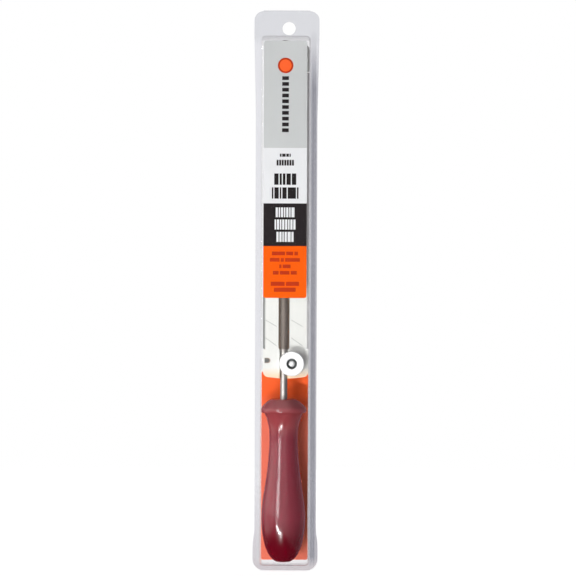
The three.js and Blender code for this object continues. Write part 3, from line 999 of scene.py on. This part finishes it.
class FILEGUIDE_OT_label(bpy.types.Operator):
    """Prints the card in front of the guide in panels with plain bars"""

    bl_idname = "fileguide.label"
    bl_label = "Front Label"

    def execute(self, context):
        settings = context.scene.file_guide_print
        inks = {
            "grey": printed("ink_grey", settings.grey),
            "white": printed("ink_white", settings.white),
            "black": printed("ink_black", settings.black, roughness=0.34),
            "orange": printed("ink_orange", settings.orange),
            "rust": printed("ink_rust", settings.rust),
            "badge": printed("ink_badge", settings.card),
        }
        piece = copy_of_node("front_label", "front_label_print")
        heights = [LABEL_LOW.z + LABEL_LENGTH * share for share in PANEL_SHARES]
        for height in heights:
            cut_across(piece, height)
        for ink in PANEL_INKS:
            piece.data.materials.append(inks[ink])
        for face in piece.data.polygons:
            panel = sum(face.center.z > height for height in heights)
            is_back = face.normal.y > BACK_SHARE
            face.material_index = PANEL_INKS.index("white") if is_back else panel
        dress(piece, None, "case_front", "label", "front_label")
        join_print("label_badge", print_badge(inks["rust"], inks["badge"]))
        join_print("label_rows", print_rows(inks) + print_bars(inks["black"]))
        return {"FINISHED"}


class FILEGUIDE_OT_card(bpy.types.Operator):
    """Dresses the orange card behind the tool"""

    bl_idname = "fileguide.card"
    bl_label = "Back Card"

    def execute(self, context):
        settings = context.scene.file_guide_print
        piece = copy_of_node("back_card", "back_card_print")
        # From just above the guide's foot up, the card's front is dull brown, a painted shade for
        # the space under the plate; its back is bare board.
        behind_guide = 6 * MM
        painted_shade_start = GUIDE_LOW.z + behind_guide
        cut_across(piece, painted_shade_start)
        orange = printed("card_orange", settings.card, painted_veil_colour=settings.card_painted_veil)
        dress(piece, orange, "case_back", "card", "back_card")
        piece.data.materials.append(printed("card_board_and_painted_shade", settings.board, roughness=0.6))
        for face in piece.data.polygons:
            is_back_or_painted_shade = face.center.z > painted_shade_start or face.normal.y > BACK_SHARE
            face.material_index = int(is_back_or_painted_shade)
        return {"FINISHED"}


def is_plate_side(face, out):
    """Whether a face of the plate is one of its long bent sides."""
    flat_half_width = 13.2 * MM
    least_area = 20 * MM * MM
    end_share = 0.5
    is_end = abs(face.normal.z) > end_share
    return abs(out) > flat_half_width and face.area > least_area and not is_end


def finish_plate(plate, *finishes):
    """Gives the plate's bent sides, lanced tabs and slanted marks their own finishes: painted shade
    on the left side and in the tabs, painted light on the right side.
    """
    middle = (GUIDE_LOW.x + GUIDE_HIGH.x) / 2
    flat_share = 0.98
    tab_reach = 2.6 * MM
    mark_shallow, mark_deep = 0.1 * MM, 0.3 * MM
    tab_across = FILE_AXIS.x - TAB_OFFSET
    heights = (GUIDE_LOW.z + TAB_RISE, GUIDE_HIGH.z - TAB_RISE)
    tabs = [Vector((tab_across, 0, height)) for height in heights]
    flats = [face for face in plate.data.polygons if face.normal.y < -flat_share]
    front = max(flats, key=lambda face: face.area).center.y
    left, right, mark = range(1, 4)
    for finish in finishes:
        plate.data.materials.append(finish)
    for face in plate.data.polygons:
        out = face.center.x - middle
        is_flat = face.normal.y < -flat_share
        near_tab = min((face.center - tab).xz.length for tab in tabs) < tab_reach
        if is_plate_side(face, out):
            face.material_index = left if out < 0 else right
        # The lanced tabs' inner faces take the left side's painted shade
        elif near_tab and not is_flat:
            face.material_index = left
        elif is_flat and mark_shallow < face.center.y - front < mark_deep:
            face.material_index = mark


class FILEGUIDE_OT_guide(bpy.types.Operator):
    """Dresses the stamped guide plate"""

    bl_idname = "fileguide.guide"
    bl_label = "Guide Plate"

    def execute(self, context):
        settings = context.scene.file_guide_tool
        piece = copy_of_node("guide_plate", "guide_plate_zinc")
        shade(piece, settings.smooth_angle)
        zinc = plated("zinc_plate", settings.zinc, settings.warm_zinc)
        dress(piece, zinc, "case_front", "zinc_plate", "guide_plate")
        left = plated("left_side_painted_shade_steel", settings.left_side)
        right = plated("right_side_painted_light_steel", settings.right_side)
        finish_plate(piece, left, right, plated("mark_steel", settings.mark))
        return {"FINISHED"}


def darken_bore(nut, material):
    """Gives the nut's bore and recess their own darker finish: partly the thread's own unplated
    steel, partly painted shade in the recess.
    """
    low, high = (Vector(corner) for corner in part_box(nut.name.removesuffix("_zinc")))
    middle = (low + high) / 2
    recess_radius = 3.5 * MM
    rim_depth = 0.2 * MM
    nut.data.materials.append(material)
    for face in nut.data.polygons:
        out = (face.center - middle).xz.length
        if out < recess_radius and face.center.y > low.y + rim_depth:
            face.material_index = 1


class FILEGUIDE_OT_clamps(bpy.types.Operator):
    """Dresses the bolt, washer and thumb nut at each end of the guide"""

    bl_idname = "fileguide.clamps"
    bl_label = "Clamps"

    def execute(self, context):
        settings = context.scene.file_guide_tool
        zinc = plated("zinc_hardware", settings.nut)
        bore = plated("bore_steel", settings.bore)
        for end in CLAMP_ENDS:
            parts = (
                (f"clamp_bolt_{end}", "case_front"),
                (f"clamp_washer_{end}", f"washer_{end}"),
                (f"thumb_nut_{end}", f"nut_{end}"),
            )
            for node, body in parts:
                piece = copy_of_node(node, f"{node}_zinc")
                round_edges(piece, settings.bevel, settings.smooth_angle)
                shade(piece, settings.smooth_angle)
                dress(piece, zinc, body, "zinc_hardware", node)
                if node.startswith("thumb_nut"):
                    darken_bore(piece, bore)
        return {"FINISHED"}


class FILEGUIDE_OT_file(bpy.types.Operator):
    """Dresses the round file"""

    bl_idname = "fileguide.file"
    bl_label = "Round File"

    def execute(self, context):
        piece = copy_of_node("round_file", "round_file_steel")
        shade(piece, context.scene.file_guide_tool.smooth_angle)
        dress(piece, file_steel(), "file_and_handle", "file_steel", "round_file")
        return {"FINISHED"}


class FILEGUIDE_OT_handle(bpy.types.Operator):
    """Dresses the moulded handle"""

    bl_idname = "fileguide.handle"
    bl_label = "Handle"

    def execute(self, context):
        piece = copy_of_node("handle", "handle_plastic")
        shade(piece, context.scene.file_guide_tool.handle_smooth_angle)
        dress(piece, handle_plastic(), "file_and_handle", "handle", "handle")
        return {"FINISHED"}


WHITE = (1.0, 1.0, 1.0, 1.0)
# A ray's depth is a whole number of bounces, so this tells none from one or more
HALF_BOUNCE = 0.5
# Each lamp: its name and place, its width and height in metres, its power, its turn about its beam,
# and whether gloss and film mirror it
LAMPS = (
    ("key_lamp", (-0.62, -1.04, 0.22), (0.36, 0.5), 3.3, 0.0, True),
    ("strip_lamp", (-0.43, -1.02, -0.325), (0.64, 0.02), 8.5, math.radians(-22), True),
    ("side_lamp", (-1.25, -0.1, 0.15), (1.6, 1.0), 4.6, 0.0, True),
    ("back_lamp", (1.1, 0.7, 0.25), (1.0, 1.0), 8.0, 0.0, False),
)


def add_floor():
    """A pale floor that takes the case's shadow, fades out with distance and hides no lamp."""
    settings = bpy.context.scene.file_guide_stage
    below_case = 0.5 * MM
    glow = 0.75
    solid_share = 0.25
    bpy.ops.object.select_all(action="DESELECT")
    size = 2 * settings.floor_radius
    bpy.ops.mesh.primitive_plane_add(size=size, location=(0, 0, CAD_BOX[0][2] - below_case))
    floor = bpy.context.object
    floor.name = "floor"
    material, nodes, shader = new_material("floor_paper")
    shader.inputs["Roughness"].default_value = 1.0
    shader.inputs["Specular IOR Level"].default_value = 0.0
    shader.inputs["Base Color"].default_value = rgba(settings.floor_colour)
    path = nodes.add("ShaderNodeLightPath").outputs
    is_seen = nodes.math("LESS_THAN", path["Diffuse Depth"], HALF_BOUNCE)
    lift = nodes.math("MULTIPLY", is_seen, glow)
    shader.inputs["Emission Color"].default_value = WHITE
    material.node_tree.links.new(lift, shader.inputs["Emission Strength"])
    place = nodes.add("ShaderNodeTexCoord").outputs["Object"]
    away = nodes.add("ShaderNodeVectorMath", {0: place}, operation="LENGTH").outputs["Value"]
    solid_radius = solid_share * settings.floor_radius
    kept = nodes.ramp(away, solid_radius, settings.floor_radius, 1.0, 0.0)
    is_under = nodes.add("ShaderNodeNewGeometry").outputs["Backfacing"]
    kept = nodes.math("MULTIPLY", kept, nodes.math("SUBTRACT", 1.0, is_under))
    is_direct = nodes.math("LESS_THAN", path["Glossy Depth"], HALF_BOUNCE)
    kept = nodes.math("MULTIPLY", kept, is_direct)
    kept = nodes.math("MULTIPLY", kept, nodes.math("SUBTRACT", 1.0, path["Is Shadow Ray"]))
    material.node_tree.links.new(kept, shader.inputs["Alpha"])
    floor.data.materials.append(material)


def mirrored_room(nodes):
    """What gloss mirrors: white in front, dim to the right and behind, and dark below."""
    settings = bpy.context.scene.file_guide_stage
    # How far a direction points to the right, behind or down, as a share, where each change starts
    # and is full. The dark below slants, and is higher up on the left.
    right_start, right_full = 0.2, 0.6
    behind_start, behind_full = -0.1, 0.6
    below_start, below_full = -0.28, -0.33
    slant_share = 0.3
    place = nodes.add("ShaderNodeTexCoord").outputs["Generated"]
    split = nodes.add("ShaderNodeSeparateXYZ", {0: place}).outputs
    right = nodes.ramp(split["X"], right_start, right_full)
    behind = nodes.ramp(split["Y"], behind_start, behind_full)
    slant = nodes.math("ADD", split["Z"], nodes.math("MULTIPLY", split["X"], slant_share))
    below = nodes.ramp(slant, below_start, below_full)
    dim = nodes.math("MAXIMUM", right, behind)
    room = nodes.mix(dim, rgba(settings.room_front), rgba(settings.room_back))
    return nodes.mix(below, room, rgba(settings.room_floor))


def add_world():
    """White for the eye, a plain level of light, and a room to mirror."""
    settings = bpy.context.scene.file_guide_stage
    world = bpy.data.worlds.new("studio")
    bpy.context.scene.world = world
    world.use_nodes = True
    world.node_tree.nodes.clear()
    nodes = Nodes(world.node_tree)
    path = nodes.add("ShaderNodeLightPath").outputs
    bounced = nodes.math("GREATER_THAN", path["Diffuse Depth"], HALF_BOUNCE)
    glanced = nodes.math("GREATER_THAN", path["Glossy Depth"], HALF_BOUNCE)
    seen = nodes.mix(glanced, WHITE, mirrored_room(nodes))
    colour = nodes.mix(bounced, seen, rgba(settings.world_light))
    background = nodes.add("ShaderNodeBackground", {"Color": colour, "Strength": 1.0})
    nodes.add("ShaderNodeOutputWorld", {"Surface": background.outputs[0]})


def add_lamp(name, place, sizes, power, turn, is_mirrored):
    """A soft lamp that points at the middle of the case, turned about its own beam."""
    bpy.ops.object.light_add(type="AREA", location=place)
    lamp = bpy.context.object
    lamp.name = name
    lamp.data.shape = "RECTANGLE"
    lamp.data.size, lamp.data.size_y = sizes
    lamp.data.energy = power
    lamp.visible_glossy = is_mirrored
    lamp.visible_transmission = is_mirrored
    aim = Vector((0, 0, bpy.context.scene.file_guide_stage.height)) - Vector(place)
    facing = aim.to_track_quat("-Z", "Y")
    lamp.rotation_euler = (facing @ Quaternion((0, 0, 1), turn)).to_euler()


def add_camera():
    """A long lens square on to the window, as the photograph is taken."""
    settings = bpy.context.scene.file_guide_stage
    frame_pixels = 576
    bpy.ops.object.camera_add()
    camera = bpy.context.object
    camera.name = "camera"
    camera.location = (settings.across, -settings.distance, settings.height)
    camera.rotation_euler = (math.pi / 2, settings.roll, 0)
    camera.data.sensor_fit = "HORIZONTAL"
    to_flange = settings.distance + SHELL_HIGH.y
    camera.data.lens = camera.data.sensor_width * to_flange / (settings.pixel * frame_pixels)
    bpy.context.scene.camera = camera


class FILEGUIDE_OT_stage(bpy.types.Operator):
    """Adds the floor, the light and the camera"""

    bl_idname = "fileguide.stage"
    bl_label = "Stage"

    def execute(self, context):
        add_floor()
        add_world()
        for lamp in LAMPS:
            add_lamp(*lamp)
        add_camera()
        context.scene.view_settings.view_transform = "Standard"
        return {"FINISHED"}


OPERATORS = (
    FILEGUIDE_OT_case,
    FILEGUIDE_OT_label,
    FILEGUIDE_OT_card,
    FILEGUIDE_OT_guide,
    FILEGUIDE_OT_clamps,
    FILEGUIDE_OT_file,
    FILEGUIDE_OT_handle,
    FILEGUIDE_OT_stage,
)


class FILEGUIDE_PT_panel(bpy.types.Panel):
    """Lists the sizes, the colours and the pieces"""

    bl_idname = "FILEGUIDE_PT_panel"
    bl_label = "File Guide"
    bl_space_type = "VIEW_3D"
    bl_region_type = "UI"
    bl_category = "File Guide"

    def draw(self, context):
        for key, group in SETTINGS.items():
            box = self.layout.box()
            for field in group.__annotations__:
                box.prop(getattr(context.scene, key), field)
        for operator in OPERATORS:
            self.layout.operator(operator.bl_idname)


def register():
    for group in SETTINGS.values():
        bpy.utils.register_class(group)
    for key, group in SETTINGS.items():
        setattr(bpy.types.Scene, key, PointerProperty(type=group))
    for operator in OPERATORS:
        bpy.utils.register_class(operator)
    bpy.utils.register_class(FILEGUIDE_PT_panel)


def unregister():
    bpy.utils.unregister_class(FILEGUIDE_PT_panel)
    for operator in reversed(OPERATORS):
        bpy.utils.unregister_class(operator)
    for key in SETTINGS:
        delattr(bpy.types.Scene, key)
    for group in reversed(SETTINGS.values()):
        bpy.utils.unregister_class(group)


def main():
    register()
    bpy.ops.fileguide.case()
    bpy.ops.fileguide.label()
    bpy.ops.fileguide.card()
    bpy.ops.fileguide.guide()
    bpy.ops.fileguide.clamps()
    bpy.ops.fileguide.file()
    bpy.ops.fileguide.handle()
    bpy.ops.fileguide.stage()


if __name__ == "__main__":
    main()
